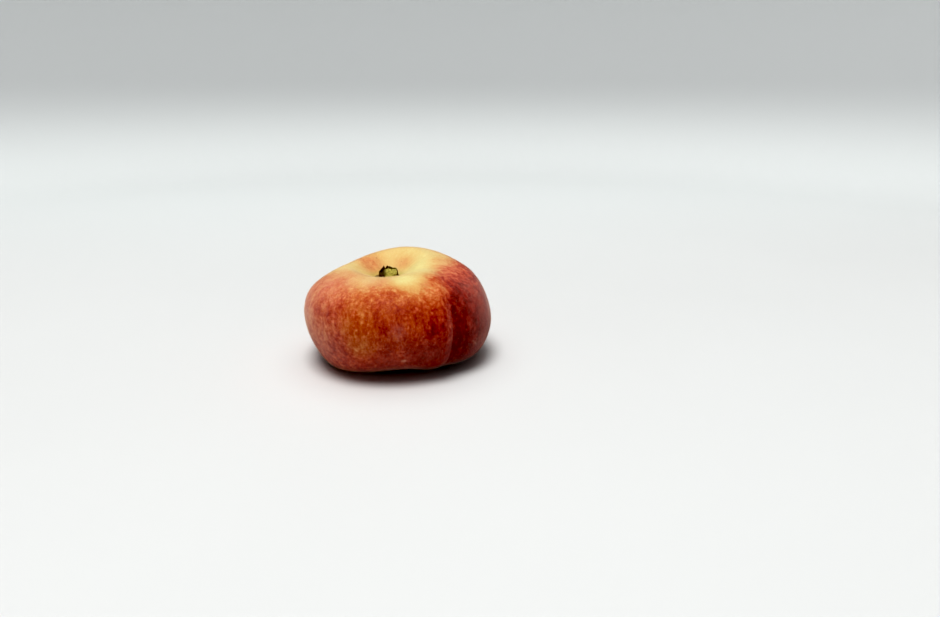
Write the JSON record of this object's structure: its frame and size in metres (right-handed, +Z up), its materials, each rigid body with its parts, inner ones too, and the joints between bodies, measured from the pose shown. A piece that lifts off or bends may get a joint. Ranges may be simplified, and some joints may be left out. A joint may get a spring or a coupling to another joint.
{
  "type": "flat peach",
  "caption": "Squat round peach with a hollow at the top that holds a torn stalk remnant, a seam down one side and a shallow basin underneath.",
  "frame": {"origin": "on the surface the fruit rests on, under the middle of its outline", "axes": "+Z up, from the resting side to the stem hollow; -Y is the front, where the seam is towards the right"},
  "size_m": [0.0666, 0.067, 0.0364],
  "materials": {
    "peach_skin": "downy skin, dull with a soft sheen",
    "stalk": "torn green-brown fibres with dark bark at the edge"
  },
  "bodies": {
    "root": {"fruit": "peach_skin", "stem_stub": "stalk"}
  },
  "joints": []
}
